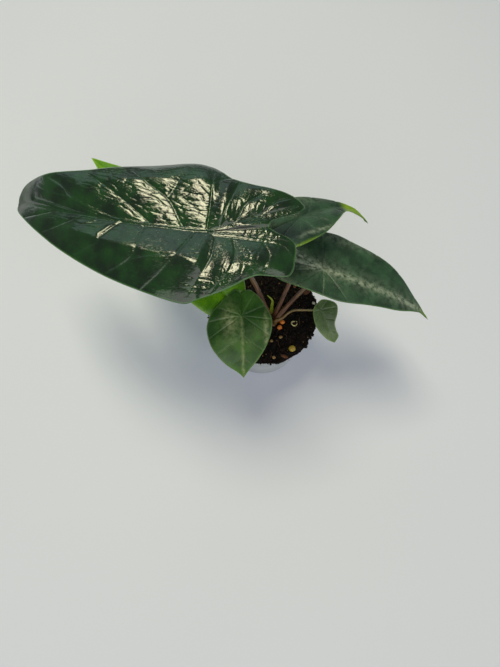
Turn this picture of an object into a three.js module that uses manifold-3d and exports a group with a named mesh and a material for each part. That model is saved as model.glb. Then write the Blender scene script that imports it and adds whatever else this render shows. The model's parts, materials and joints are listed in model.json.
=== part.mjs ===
// Potted alocasia: a young plant with six arrow-shaped leaves in a small nursery pot.
// Millimetres, +Z up, the floor is z = 0 and the origin is the middle of the pot's base.
import * as THREE from 'three';
import { mergeVertices } from 'three/addons/utils/BufferGeometryUtils.js';
import Module from 'manifold-3d';

const wasm = await Module();
wasm.setup();

const POT_HEIGHT = 44;
const POT_BASE_R = 22;
const POT_RIM_R = 29;
const WALL = 1.3;
const DRAIN_HOLES = 4;
const DRAIN_R = 2;
const GAP = 0.3;
const SOIL_TOP = 45.2;
const SOIL_CROWN = 1.3;
const NECK = { x: 4.8, y: -5, r: 4, top: 47.6 };
const STALK_RING = 2.7;
const SHEET = 0.7;
const ROWS_PER_VEIN = 4;
const COLUMNS = 4;

const leafGreen = { color: 0x1f4a2c, roughness: 0.3, metalness: 0 };
const dullGreen = { color: 0x3a5f4a, roughness: 0.45, metalness: 0 };
const freshGreen = { color: 0x6fa821, roughness: 0.35, metalness: 0 };
const midGreen = { color: 0x3f7a34, roughness: 0.4, metalness: 0 };
const stalkBrown = { color: 0x6b4634, roughness: 0.5, metalness: 0 };
const stalkTan = { color: 0x8a7048, roughness: 0.6, metalness: 0 };

// Each blade: joint is where its stalk meets it, heading is the compass angle of the midrib from +X,
// pitch is the slope at the joint and at the tip, lobes the slope gained at the far end of the basal
// lobes, fold and droop bend the left and right halves. The outlines give [along the midrib, half
// width] from the notch round the basal lobe to the tip.
const BLADES = {
  blade_large: {
    joint: [-23.4, 4.9, 118], heading: 171, sweep: -34, roll: [-4, -26], pitch: [-4, -53], power: 3,
    lobes: 12, fold: [16, 16], droop: [0.02, 0.02],
    quilt: 1.1, wave: 0.5, keel: 1.3, veins: 12, finish: leafGreen,
    left: [[-23.7, -4.9], [-27.2, -3.2], [-31.2, -2.1], [-34.6, 0], [-35.4, 3.5], [-35.2, 7.5], [-35, 11.7],
      [-33.3, 15], [-29, 15.9], [-22.3, 16.6], [-18.4, 18.6], [-13, 22.6], [-7, 26.1], [0, 29.3],
      [6, 31.5], [20, 29], [38, 24.5], [58, 17.5], [71, 12.6], [85, 7.6], [97, 3.8], [108, 0]],
    right: [[-23.7, 4.9], [-24.2, 7.5], [-27.3, 9.5], [-33.6, 12.4], [-37.2, 15.6], [-36.3, 17.6],
      [-33.2, 19.6], [-28.7, 21], [-22, 22], [-13, 23.4], [-5, 25.8], [4, 30.3], [24, 29.5], [46, 24.5],
      [60, 20.2], [74, 16.2], [89, 11.4], [101, 7], [108, 0]],
  },
  blade_upper_right: {
    joint: [15.3, 22.9, 100], heading: 28, sweep: -50, roll: [-14, -14], pitch: [-8, -60], power: 1.8,
    lobes: 10, fold: [10, 14], droop: [0.02, 0.025],
    quilt: 0.8, wave: 0.6, keel: 1.1, veins: 7, finish: dullGreen,
    left: [[-15, 0], [-17, 3], [-20, 8], [-18, 12], [-8, 13.5], [4, 12.2], [15, 8], [23, 3.2], [30, 1],
      [43, 0]],
    right: [[-15, 0], [-17, 3], [-20, 9], [-16, 14], [-8, 16], [4, 14], [15, 9], [23, 3.5], [30, 1],
      [43, 0]],
  },
  blade_lower_right: {
    joint: [26.6, 4.5, 86], heading: -11, sweep: -16, roll: [-6, -6], pitch: [-8, -42], power: 1.3,
    lobes: 4, fold: [10, 10], droop: [0.015, 0.03],
    quilt: 0.8, wave: 0.5, keel: 1.2, veins: 8, finish: dullGreen,
    left: [[-14.5, 0], [-16.5, 2.8], [-20, 4], [-25, 8], [-22, 14.5], [-12, 18.5], [2, 20.5], [12, 19.5],
      [26, 15.5], [40, 9.5], [50, 4.2], [56.5, 1], [62.5, 0]],
    right: [[-14.5, 0], [-16.5, 2.6], [-19.5, 3.8], [-23.5, 7.2], [-19, 10.5], [-12, 12], [2, 13.6],
      [12, 14], [26, 11.5], [40, 7.8], [50, 3.4], [56.5, 0.9], [62.5, 0]],
  },
  blade_new: {
    joint: [-33.2, 11.4, 80], heading: 131.5, sweep: 0, roll: [-6, -6], pitch: [0, -10], power: 1,
    lobes: 26, fold: [14, 14], droop: [0.02, 0.02],
    quilt: 0.5, wave: 0.4, keel: 1, veins: 7, finish: freshGreen,
    left: [[-24, 0], [-27, 1.6], [-30, 5.5], [-27, 10.5], [-17, 14], [0, 16], [20, 15.5], [42, 12], [62, 7],
      [77, 2.6], [89, 0]],
    right: [[-24, 0], [-26.5, 1.6], [-29, 5], [-26, 9.5], [-14, 15.5], [0, 19], [20, 19], [42, 16],
      [60, 11.5], [76, 5], [89, 0]],
  },
  blade_small_oval: {
    joint: [-10.8, -15.5, 78], heading: -88, sweep: 0, roll: [0, 0], pitch: [-6, -28], power: 1,
    lobes: 6, fold: [8, 8], droop: [0.02, 0.02],
    quilt: 0.6, wave: 0.5, keel: 0.9, veins: 7, finish: midGreen,
    left: [[-11, 0], [-12.5, 4], [-9, 8.5], [-3.5, 11.8], [2, 13.8], [8, 13.3], [14, 11], [20, 7], [25, 2.6],
      [28.5, 0]],
    right: [[-11, 0], [-13, 3], [-9, 7.6], [-2.5, 13.4], [4, 16.4], [10, 15.9], [16, 13.2], [22, 8.2],
      [26, 2.6], [28.5, 0]],
  },
  blade_tiny: {
    joint: [28.6, -4.9, 59], heading: -62, sweep: 0, roll: [0, 0], pitch: [-10, -44], power: 1,
    lobes: 8, fold: [12, 12], droop: [0.02, 0.02],
    quilt: 0.35, wave: 0.2, keel: 0.6, veins: 5, finish: midGreen,
    left: [[-4, 0], [-4.5, 3.5], [-1.5, 7.5], [1.5, 8.8], [5, 7], [9, 3.6], [13, 3], [16, 3], [18.5, 0]],
    right: [[-4, 0], [-3.2, 2], [0, 4.6], [5, 6.2], [9, 5.8], [14, 3.8], [16.5, 2], [18.5, 0]],
  },
};

// Each stalk leaves the neck at an angle round it, passes the points and ends at its blade's joint.
const STALKS = {
  stalk_large: {
    to: 'blade_large', at: 150, r: [1.15, 1], via: [[-1.2, -2.2, 68], [-5.9, -1.7, 88], [-12.5, 0.5, 106]],
  },
  stalk_upper_right: {
    to: 'blade_upper_right', at: 50, r: [1.05, 0.9], via: [[9.4, 0.6, 62], [12.2, 4.4, 77], [9.5, 8, 88],
      [11, 14, 95]],
  },
  stalk_lower_right: {
    to: 'blade_lower_right', at: 0, r: [1.1, 0.9], via: [[13.2, -1.2, 60], [19.9, 1.2, 74]],
  },
  stalk_new: {
    to: 'blade_new', at: 200, r: [0.95, 0.8], via: [[-5, -5.5, 54], [-18, -1, 62], [-28, 6, 71]],
  },
  stalk_small_oval: {
    to: 'blade_small_oval', at: 250, r: [0.9, 0.7], via: [[1, -10, 58], [-5, -13.5, 69]],
  },
  stalk_tiny: {
    to: 'blade_tiny', at: 305, r: [0.6, 0.5], via: [[9.4, -6.4, 52], [14.5, -3.6, 55], [22, -4, 57.2]],
  },
};

const PRILLS = {
  prill_orange_1: { x: 9.9, y: -6.9, r: 1.3, color: 0xd9791f },
  prill_orange_2: { x: 8.4, y: -9.9, r: 1.3, color: 0xcf6a18 },
  prill_yellow: { x: 14.7, y: -21.4, r: 1.7, color: 0xb9a832 },
};
const GRAINS = {
  grain_1: { x: 8.9, y: -15, r: 1, color: 0xa88a52 },
  grain_2: { x: 4.1, y: -17.1, r: 0.9, color: 0x9a7a45 },
  grain_3: { x: 5.3, y: -25.8, r: 1, color: 0xb09460 },
  grain_4: { x: 27, y: 4.4, r: 0.9, color: 0xe4ded2 },
};
const CHIPS = {
  bark_chip_1: { x: 23.6, y: 10.6, turn: 35, size: [4.4, 2, 0.9] },
  bark_chip_2: { x: 10.6, y: -25.2, turn: -20, size: [3.6, 1.8, 0.9] },
  bark_chip_3: { x: 17.6, y: 15.5, turn: 70, size: [5, 2.2, 1] },
};

const rad = THREE.MathUtils.degToRad;
const lerp = THREE.MathUtils.lerp;
const group = new THREE.Group();
group.name = 'potted_alocasia';

function welded(geometry) {
  const bare = new THREE.BufferGeometry();
  bare.setAttribute('position', geometry.getAttribute('position'));
  bare.setIndex(geometry.getIndex());
  const joined = mergeVertices(bare, 1e-4);
  const old = joined.getIndex().array;
  const kept = [];
  for (let k = 0; k < old.length; k += 3) {
    const [a, b, c] = [old[k], old[k + 1], old[k + 2]];
    if (a !== b && b !== c && c !== a) kept.push(a, b, c);
  }
  joined.setIndex(kept);
  return joined;
}

function solid(geometry) {
  const joined = welded(geometry);
  return new wasm.Manifold(new wasm.Mesh({
    numProp: 3,
    vertProperties: new Float32Array(joined.getAttribute('position').array),
    triVerts: new Uint32Array(joined.getIndex().array),
  }));
}

function fromSolid(body) {
  const mesh = body.getMesh();
  const geometry = new THREE.BufferGeometry();
  geometry.setAttribute('position', new THREE.BufferAttribute(new Float32Array(mesh.vertProperties), 3));
  geometry.setIndex(new THREE.BufferAttribute(new Uint32Array(mesh.triVerts), 1));
  return geometry;
}

function add(name, geometry, { color, roughness, metalness }) {
  geometry.computeVertexNormals();
  const mesh = new THREE.Mesh(geometry, new THREE.MeshStandardMaterial({ color, roughness, metalness }));
  mesh.name = name;
  group.add(mesh);
}

function reshape(geometry, move) {
  const place = geometry.getAttribute('position');
  const point = new THREE.Vector3();
  for (let k = 0; k < place.count; k += 1) {
    move(point.fromBufferAttribute(place, k));
    place.setXYZ(k, point.x, point.y, point.z);
  }
  return geometry;
}

// The direction of the midrib at x: the slope steepens towards the tip and eases into the lobes.
function ribDirection(blade, x) {
  const length = blade.left.at(-1)[0];
  const forward = Math.max(x / length, 0);
  const backward = Math.max(-x / 37, 0);
  const pitch = rad(lerp(blade.pitch[0], blade.pitch[1], forward ** blade.power) + blade.lobes * backward);
  const heading = rad(blade.heading + (blade.sweep * x * Math.abs(x)) / length ** 2);
  const along = new THREE.Vector3(
    Math.cos(pitch) * Math.cos(heading),
    Math.cos(pitch) * Math.sin(heading),
    Math.sin(pitch),
  );
  return { along, level: new THREE.Vector3(-Math.sin(heading), Math.cos(heading), 0) };
}

// The midrib's point, sideways direction and upward direction at x.
function ribFrame(blade, x) {
  const steps = 24;
  const point = new THREE.Vector3(...blade.joint);
  for (let k = 0; k < steps; k += 1) {
    point.addScaledVector(ribDirection(blade, ((k + 0.5) / steps) * x).along, x / steps);
  }
  const { along, level } = ribDirection(blade, x);
  const forward = Math.max(x / blade.left.at(-1)[0], 0);
  const side = level.applyAxisAngle(along, rad(lerp(blade.roll[0], blade.roll[1], forward ** 2)));
  const up = new THREE.Vector3().crossVectors(along, side);
  return { point, side, up };
}

// A blade as a thin closed sheet: rows run from the midrib to the margin along the side veins, so the
// rows between two veins are raised. below and above are added to the underside and the top.
function bladeSheet(blade, below = 0, above = 0) {
  const rows = blade.veins * ROWS_PER_VEIN;
  const length = blade.left.at(-1)[0];
  const edges = [blade.left, blade.right].map((outline) => (
    new THREE.SplineCurve(outline.map(([x, y]) => new THREE.Vector2(x, y))).getSpacedPoints(rows)
  ));
  const box = new THREE.BoxGeometry(1, 1, 1, 2 * COLUMNS, rows, 1);
  const faces = Array.from(box.getIndex().array);
  const caps = box.groups[2];
  faces.splice(caps.start, caps.count + box.groups[3].count);
  box.setIndex(faces);
  reshape(box, (p) => {
    const row = Math.round((p.y + 0.5) * rows);
    const column = Math.round(p.x * 2 * COLUMNS);
    const half = column < 0 ? 0 : 1;
    const part = (Math.abs(column) / COLUMNS) ** 1.4;
    const reach = (edges[0][row].x + edges[1][row].x) / 2;
    const width = (edges[0][row].y + edges[1][row].y) / 2;
    const root = THREE.MathUtils.clamp(reach - 0.75 * width, 0, length);
    const x = lerp(root, edges[half][row].x, part);
    const y = edges[half][row].y * part;
    const { point, side, up } = ribFrame(blade, x);
    const fold = rad(blade.fold[half]);
    const droop = blade.droop[half];
    const tilt = fold - droop * Math.abs(y);
    const out = (Math.sign(y) * (Math.sin(fold) - Math.sin(tilt))) / droop;
    const rise = (Math.cos(tilt) - Math.cos(fold)) / droop;
    const between = Math.abs(Math.sin((Math.PI * row) / ROWS_PER_VEIN));
    const swell = blade.quilt * between * Math.sin(Math.PI * part);
    const ripple = blade.wave * part ** 2 * Math.sin((Math.PI * row) / 5 + 2 * half);
    const ends = Math.min(row, rows - row) > 0 ? 1 : 0;
    const keel = column === 0 ? blade.keel * (1 - (0.7 * x) / length) : 0;
    const skin = p.z > 0 ? SHEET / 2 + above : -SHEET / 2 - keel - below;
    p.copy(point);
    p.addScaledVector(side, half === 0 ? out : -out);
    p.addScaledVector(up, rise + ends * (swell + ripple) + skin);
  });
  return welded(box);
}

// A round stem along a smooth path, tapering from r[0] to r[1].
function stem(path, r, rings = 11, sides = 9) {
  const curve = new THREE.CatmullRomCurve3(path.map((p) => new THREE.Vector3(...p)));
  const { normals, binormals } = curve.computeFrenetFrames(rings);
  const tube = new THREE.CylinderGeometry(1, 1, 1, sides, rings);
  return welded(reshape(tube, (p) => {
    const t = p.y + 0.5;
    const ring = Math.round(t * rings);
    const radius = lerp(r[0], r[1], t);
    const [a, b] = [p.x * radius, p.z * radius];
    p.copy(curve.getPointAt(Math.min(t, 1)));
    p.addScaledVector(binormals[ring], a);
    p.addScaledVector(normals[ring], b);
  }));
}

function soilHeight(x, y) {
  const r = Math.hypot(x, y) / POT_RIM_R;
  const lumps = Math.sin(0.62 * x + 0.5) * Math.cos(0.55 * y) + 0.6 * Math.sin(0.9 * y - 0.4 * x);
  return SOIL_TOP + SOIL_CROWN * (1 - r * r) + 0.28 * lumps;
}

function lathe(profile, segments = 36) {
  const round = new THREE.LatheGeometry(profile.map(([r, z]) => new THREE.Vector2(r, z)), segments);
  return welded(round.rotateX(Math.PI / 2));
}

// Pot: thin tapered wall with a rolled rim, a raised floor inside and drain holes clear of its middle.
const inside = (z) => lerp(POT_BASE_R, POT_RIM_R - 1, z / POT_HEIGHT) - WALL;
let pot = solid(lathe([
  [0, 0], [POT_BASE_R - 0.8, 0], [POT_BASE_R, 0.8], [POT_RIM_R - 1.6, POT_HEIGHT - 3.4],
  [POT_RIM_R - 0.3, POT_HEIGHT - 3], [POT_RIM_R, POT_HEIGHT - 0.7], [POT_RIM_R - 0.4, POT_HEIGHT],
  [inside(POT_HEIGHT) + 0.4, POT_HEIGHT], [inside(POT_HEIGHT - 1), POT_HEIGHT - 1],
  [inside(WALL), WALL], [0, WALL],
]));
for (let k = 0; k < DRAIN_HOLES; k += 1) {
  const angle = rad(45 + (k * 360) / DRAIN_HOLES);
  const drill = new THREE.CylinderGeometry(DRAIN_R, DRAIN_R, 6, 20).rotateX(Math.PI / 2);
  drill.translate(0.62 * POT_BASE_R * Math.cos(angle), 0.62 * POT_BASE_R * Math.sin(angle), 0.5);
  pot = pot.subtract(solid(drill));
}
add('pot', fromSolid(pot), { color: 0x9aa5a8, roughness: 0.4, metalness: 0 });

// Neck of the plant, a low corm top standing in a pocket of the soil.
function neck(grow) {
  const [r, top] = [NECK.r + grow, NECK.top + grow];
  const round = lathe([[0, 41 - grow], [r, 41 - grow], [r, top - 0.9], [0.8 * r, top - 0.2], [0, top]], 24);
  return round.translate(NECK.x, NECK.y, 0);
}
const neckRoom = solid(neck(GAP));
add('neck', neck(0), stalkBrown);

// Soil: fills the pot and is heaped over its rim with a ragged edge.
const brim = POT_HEIGHT + GAP;
const soilSkin = lathe([
  [0, WALL + GAP], [inside(WALL) - GAP, WALL + GAP], [inside(POT_HEIGHT) - GAP, brim],
  [POT_RIM_R - 0.9, brim],
  [POT_RIM_R + 0.1, brim + 0.4], [POT_RIM_R - 0.6, SOIL_TOP], [26, SOIL_TOP], [23, SOIL_TOP], [20, SOIL_TOP],
  [17, SOIL_TOP], [14, SOIL_TOP], [11, SOIL_TOP], [8, SOIL_TOP], [5, SOIL_TOP], [2, SOIL_TOP], [0, SOIL_TOP],
], 36);
reshape(soilSkin, (p) => {
  if (p.z < brim - 0.01) return;
  const turn = Math.atan2(p.y, p.x);
  const ragged = 1 + 0.012 * Math.sin(5 * turn + 1) + 0.011 * Math.sin(13 * turn);
  if (Math.hypot(p.x, p.y) > POT_RIM_R - 1) {
    p.x *= ragged;
    p.y *= ragged;
  }
  if (p.z > brim + 0.5) p.z = soilHeight(p.x, p.y);
});
let soil = solid(soilSkin).subtract(neckRoom);

// Blades, and the stalks that end just under them.
for (const [name, blade] of Object.entries(BLADES)) {
  add(name, bladeSheet(blade), blade.finish);
}
function fromNeck(angle) {
  return [NECK.x + STALK_RING * Math.cos(rad(angle)), NECK.y + STALK_RING * Math.sin(rad(angle))];
}
for (const [name, { at, r, via, to }] of Object.entries(STALKS)) {
  const blade = BLADES[to];
  const path = [[...fromNeck(at), 45.5], [...fromNeck(at), 50], ...via, blade.joint];
  const room = solid(bladeSheet(blade, GAP, 4));
  const stalk = solid(stem(path, r)).subtract(neckRoom).subtract(room);
  add(name, fromSolid(stalk), to === 'blade_tiny' ? stalkTan : stalkBrown);
}

// New shoot: a pale spike that leans back and ends in a point.
const shootPath = [[...fromNeck(100), 45.5], [4.4, 0.6, 50], [4.6, 2.4, 54], [1.9, 3, 60]];
const shoot = solid(stem(shootPath, [0.85, 0.3], 12, 8)).subtract(neckRoom);
add('new_shoot', fromSolid(shoot), { color: 0xb9cc3c, roughness: 0.4, metalness: 0 });

// Fertiliser beads, an empty bead coat, grit and bark lying on the soil.
function lieOn(x, y, r) {
  const ring = [0, 60, 120, 180, 240, 300].map((angle) => (
    soilHeight(x + r * Math.cos(rad(angle)), y + r * Math.sin(rad(angle)))
  ));
  return Math.max(soilHeight(x, y), ...ring) + GAP;
}
for (const [name, { x, y, r, color }] of Object.entries(PRILLS)) {
  const bead = new THREE.SphereGeometry(r, 10, 7).scale(1.08, 0.94, 0.9);
  bead.translate(x, y, lieOn(x, y, 0.6 * r) + 0.9 * r);
  add(name, welded(bead), { color, roughness: 0.35, metalness: 0 });
}
const coat = new THREE.TorusGeometry(1.2, 0.45, 6, 12).scale(1.1, 0.9, 0.8);
coat.translate(16.3, -7.4, lieOn(16.3, -7.4, 1.6) + 0.36);
add('bead_coat', welded(coat), { color: 0xc9b84e, roughness: 0.5, metalness: 0 });
for (const [name, { x, y, r, color }] of Object.entries(GRAINS)) {
  const grain = new THREE.IcosahedronGeometry(r, 1).scale(1, 0.8, 0.7);
  grain.translate(x, y, lieOn(x, y, 0.6 * r) + 0.7 * r);
  grain.setIndex(Array.from({ length: grain.getAttribute('position').count }, (_, k) => k));
  add(name, welded(grain), { color, roughness: 0.8, metalness: 0 });
}
for (const [name, { x, y, turn, size }] of Object.entries(CHIPS)) {
  const chip = new THREE.BoxGeometry(...size, 3, 2, 1);
  reshape(chip, (p) => {
    p.x *= 1 - 0.12 * Math.abs(p.y);
    p.z += 0.05 * p.x * p.y;
  });
  chip.rotateZ(rad(turn)).translate(x, y, lieOn(x, y, size[0] / 2) + size[2] / 2 + 0.1);
  add(name, welded(chip), { color: 0x6a4026, roughness: 0.85, metalness: 0 });
}
add('soil', fromSolid(soil), { color: 0x1c1410, roughness: 0.95, metalness: 0 });

export default group;
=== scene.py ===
"""A young alocasia in its starter pot: six leaf blades on stalks, a new shoot, and soil with beads and grit.

Lengths are millimetres until a mesh is made, and the frame's +Z is up. Every piece is a closed skin over a
grid of points worked out with numpy, and its finish is a material made of nodes.
"""

import json
import math

import bpy
import numpy as np
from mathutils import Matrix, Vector

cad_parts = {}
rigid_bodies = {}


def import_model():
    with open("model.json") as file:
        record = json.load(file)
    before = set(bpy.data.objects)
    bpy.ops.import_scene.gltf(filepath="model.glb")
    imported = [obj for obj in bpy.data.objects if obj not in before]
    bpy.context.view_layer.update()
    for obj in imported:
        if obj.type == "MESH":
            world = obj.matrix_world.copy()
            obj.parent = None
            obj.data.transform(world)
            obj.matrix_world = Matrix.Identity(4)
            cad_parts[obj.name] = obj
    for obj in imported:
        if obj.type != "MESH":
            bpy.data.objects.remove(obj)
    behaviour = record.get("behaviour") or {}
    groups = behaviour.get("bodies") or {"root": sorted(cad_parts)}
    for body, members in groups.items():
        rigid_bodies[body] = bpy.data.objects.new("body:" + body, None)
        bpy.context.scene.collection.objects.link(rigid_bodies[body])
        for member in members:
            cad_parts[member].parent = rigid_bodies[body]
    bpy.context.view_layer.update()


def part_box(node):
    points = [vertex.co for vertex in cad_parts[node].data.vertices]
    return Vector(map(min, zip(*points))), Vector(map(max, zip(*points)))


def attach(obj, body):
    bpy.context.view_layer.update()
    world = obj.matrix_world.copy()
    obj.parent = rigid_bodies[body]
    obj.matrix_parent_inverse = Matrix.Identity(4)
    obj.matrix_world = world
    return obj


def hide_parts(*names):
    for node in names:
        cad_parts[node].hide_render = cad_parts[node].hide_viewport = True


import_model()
MM = 0.001


# ---------------------------------------------------------------------------------------------------
# Shape tools
# ---------------------------------------------------------------------------------------------------

def corners(node):
    """Lowest and highest corner of a CAD node, in mm."""
    low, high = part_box(node)
    return np.array(low) / MM, np.array(high) / MM


def middle(node):
    low, high = corners(node)
    return (low + high) / 2


def blend(a, b, share):
    return a + (b - a) * share


def ease(x, low, high):
    """0 below low, 1 above high, and an S-shaped rise between."""
    t = np.clip((x - low) / (high - low), 0, 1)
    return t * t * (3 - 2 * t)


def chance(ix, iy, seed):
    """A repeatable number from 0 to 1 for each whole-number cell."""
    mixed = np.sin(ix * 127.1 + iy * 311.7 + seed * 74.7) * 43758.5453
    return mixed - np.floor(mixed)


def waves(x, y, seed, octaves=3):
    """Smooth unevenness from -1 to 1: random heights at whole numbers, eased between, in halving sizes."""
    total = 0
    for k in range(octaves):
        u, v = x * 2**k + 17 * k, y * 2**k - 9 * k
        iu, iv = np.floor(u), np.floor(v)
        a, b = ease(u - iu, 0, 1), ease(v - iv, 0, 1)
        low = blend(chance(iu, iv, seed + k), chance(iu + 1, iv, seed + k), a)
        high = blend(chance(iu, iv + 1, seed + k), chance(iu + 1, iv + 1, seed + k), a)
        total = total + (2 * blend(low, high, b) - 1) / 2**k
    return total / (2 - 2.0 ** (1 - octaves))


def pads(x, y, seed):
    """Cushions between creases: one seed point in each unit cell, then the distance to the second nearest
    seed less the distance to the nearest, which is 0 along the creases."""
    nearest = np.full(np.shape(x), 9.0)
    second = np.full(np.shape(x), 9.0)
    ix, iy = np.floor(x), np.floor(y)
    for dx in (-1, 0, 1):
        for dy in (-1, 0, 1):
            cx, cy = ix + dx, iy + dy
            seed_x = cx + 0.15 + 0.7 * chance(cx, cy, seed)
            seed_y = cy + 0.15 + 0.7 * chance(cy, cx, seed + 3)
            away = np.hypot(seed_x - x, seed_y - y)
            second = np.minimum(second, np.maximum(nearest, away))
            nearest = np.minimum(nearest, away)
    return second - nearest


def curve(points, t, power=0.5, mirrored=True):
    """A smooth curve through points at t from 0 to 1. Spans count by their length to a power, and past
    each end the points are either mirrored or doubled."""
    p = np.array(points, float)
    first = 2 * p[0] - p[1] if mirrored else p[0]
    last = 2 * p[-1] - p[-2] if mirrored else p[-1]
    p = np.vstack([first, p, last])
    span = np.linalg.norm(np.diff(p, axis=0), axis=1)[:, None] ** power
    place = np.clip(t, 0, 1) * (len(p) - 3)
    k = np.minimum(place.astype(int), len(p) - 4)
    w = (place - k)[:, None]
    a, b, c, d = p[k], p[k + 1], p[k + 2], p[k + 3]
    sa, sb, sc = span[k], span[k + 1], span[k + 2]
    leave = sb * ((b - a) / sa - (c - a) / (sa + sb)) + (c - b)
    arrive = sb * ((d - c) / sc - (d - b) / (sb + sc)) + (c - b)
    cubic = 2 * b - 2 * c + leave + arrive
    square = 3 * c - 3 * b - 2 * leave - arrive
    return cubic * w**3 + square * w**2 + leave * w + b


def evenly(points, share, **how):
    """The same curve at equal steps of its length, share from 0 to 1, and the length itself."""
    t = np.linspace(0, 1, 1500)
    steps = np.linalg.norm(np.diff(curve(points, t, **how), axis=0), axis=1)
    run = np.concatenate([[0], np.cumsum(steps)])
    return curve(points, np.interp(share * run[-1], run, t), **how), run[-1]


def grid_faces(rows, ring):
    """Two triangles for each cell of a grid whose rows are closed rings."""
    r, c = np.meshgrid(np.arange(rows - 1), np.arange(ring), indexing="ij")
    a, b = r * ring + c, r * ring + (c + 1) % ring
    a, b = a.ravel(), b.ravel()
    return np.vstack([np.stack([a, b, b + ring], 1), np.stack([a, b + ring, a + ring], 1)])


def skin(name, points, finish, masks=None, faces=None):
    """A mesh object from a grid of points (rows, ring, 3) in mm. Points that coincide are joined, empty
    triangles dropped, and the winding turned so that the enclosed volume is positive."""
    rows, ring = points.shape[:2]
    faces = grid_faces(rows, ring) if faces is None else faces
    flat = points.reshape(-1, 3)
    cell = np.round(flat / 5e-4).astype(np.int64)
    _, keep, join = np.unique(cell, axis=0, return_index=True, return_inverse=True)
    faces = join.ravel()[faces]
    real = (faces[:, 0] != faces[:, 1]) & (faces[:, 1] != faces[:, 2]) & (faces[:, 2] != faces[:, 0])
    faces = faces[real]
    flat = flat[keep]
    a, b, c = flat[faces[:, 0]], flat[faces[:, 1]], flat[faces[:, 2]]
    if np.sum(a * np.cross(b, c)) < 0:
        faces = faces[:, ::-1]
    mesh = bpy.data.meshes.new(name)
    mesh.from_pydata(flat * MM, [], faces)
    mesh.polygons.foreach_set("use_smooth", np.ones(len(faces), bool))
    for title, values in (masks or {}).items():
        values = np.asarray(values, np.float32)
        if values.ndim == 3:
            layer = mesh.attributes.new(title, "FLOAT_VECTOR", "POINT")
            layer.data.foreach_set("vector", values.reshape(-1, 3)[keep].ravel())
        else:
            layer = mesh.attributes.new(title, "FLOAT", "POINT")
            layer.data.foreach_set("value", np.broadcast_to(values, (rows, ring)).ravel()[keep])
    mesh.update()
    piece = bpy.data.objects.new(name, mesh)
    bpy.context.scene.collection.objects.link(piece)
    mesh.materials.append(finish)
    return piece


def place(piece, slot, *nodes):
    """The piece rides on the plant's one body and stands for its CAD nodes; slot is not used."""
    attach(piece, "root")
    if nodes:
        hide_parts(*nodes)
    return piece


def tube(path, radius):
    """A round skin carried along a path (n, 3): radius is (n, ring), and both ends close in a point.
    Rings are turned by the horizontal direction square to the path's own run, so they never twist."""
    along = np.gradient(path, axis=0)
    along /= np.linalg.norm(along, axis=1, keepdims=True)
    run = path[-1] - path[0]
    level = np.array([-run[1], run[0], 0.0]) + 1e-9
    level /= np.linalg.norm(level)
    across = np.cross(along, level)
    across /= np.linalg.norm(across, axis=1, keepdims=True)
    side = np.cross(across, along)
    turn = np.linspace(0, 2 * np.pi, radius.shape[1], endpoint=False)
    ring = np.cos(turn)[:, None] * side[:, None] + np.sin(turn)[:, None] * across[:, None]
    body = path[:, None] + radius[:, :, None] * ring
    start = np.broadcast_to(path[0], body[:1].shape)
    end = np.broadcast_to(path[-1], body[:1].shape)
    return np.concatenate([start, body, end]), turn


def lathe(profile, turns, bend=None):
    """A profile of [radius, height] carried round the Z axis, as rows of rings; bend may change r and z."""
    r, z = np.array(profile, float).T
    turn = np.linspace(0, 2 * np.pi, turns, endpoint=False)
    r, turn = np.meshgrid(r, turn, indexing="ij")
    z = np.broadcast_to(z[:, None], r.shape)
    if bend:
        r, z = bend(r, turn, z)
    return np.stack([r * np.cos(turn), r * np.sin(turn), z], -1)


def rounded(profile, steps=6, reach=0.4):
    """The same profile with each corner cut by a short curve of a given reach, in mm."""
    p = np.array(profile, float)
    made = [p[:1]]
    for a, b, c in zip(p, p[1:], p[2:]):
        before = b + (a - b) * min(reach / np.linalg.norm(a - b), 0.45)
        after = b + (c - b) * min(reach / np.linalg.norm(c - b), 0.45)
        w = np.linspace(0, 1, steps)[:, None]
        made.append(before * (1 - w) ** 2 + 2 * b * w * (1 - w) + after * w**2)
    return np.vstack(made + [p[-1:]])


def ball(centre, size, rough, seed, rows=22, ring=32):
    """A lumpy ball: half sizes along three axes, with the radius varied by uneven waves."""
    up = np.linspace(0, np.pi, rows)[:, None]
    round_ = np.linspace(0, 2 * np.pi, ring, endpoint=False)[None]
    n = np.stack([np.sin(up) * np.cos(round_), np.sin(up) * np.sin(round_), np.cos(up) + 0 * round_], -1)
    lump = waves(2.1 * n[..., 0] + 0.8 * n[..., 2], 2.1 * n[..., 1] - 0.7 * n[..., 2], seed, 3)
    return n * (1 + rough * lump)[..., None] * np.array(size) + np.array(centre)


# ---------------------------------------------------------------------------------------------------
# Finishes
# ---------------------------------------------------------------------------------------------------

class Wire:
    """An output socket of a material. Arithmetic on it adds Math nodes."""

    def __init__(self, finish, socket):
        self.finish = finish
        self.socket = socket

    def math(self, operation, *values):
        return self.finish.node("ShaderNodeMath", {"operation": operation}, dict(enumerate(values)))

    def __add__(self, other):
        return self.math("ADD", self, other)

    def __sub__(self, other):
        return self.math("SUBTRACT", self, other)

    def __mul__(self, other):
        return self.math("MULTIPLY", self, other)

    def __radd__(self, other):
        return self.math("ADD", other, self)

    def __rsub__(self, other):
        return self.math("SUBTRACT", other, self)

    def __rmul__(self, other):
        return self.math("MULTIPLY", other, self)


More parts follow.
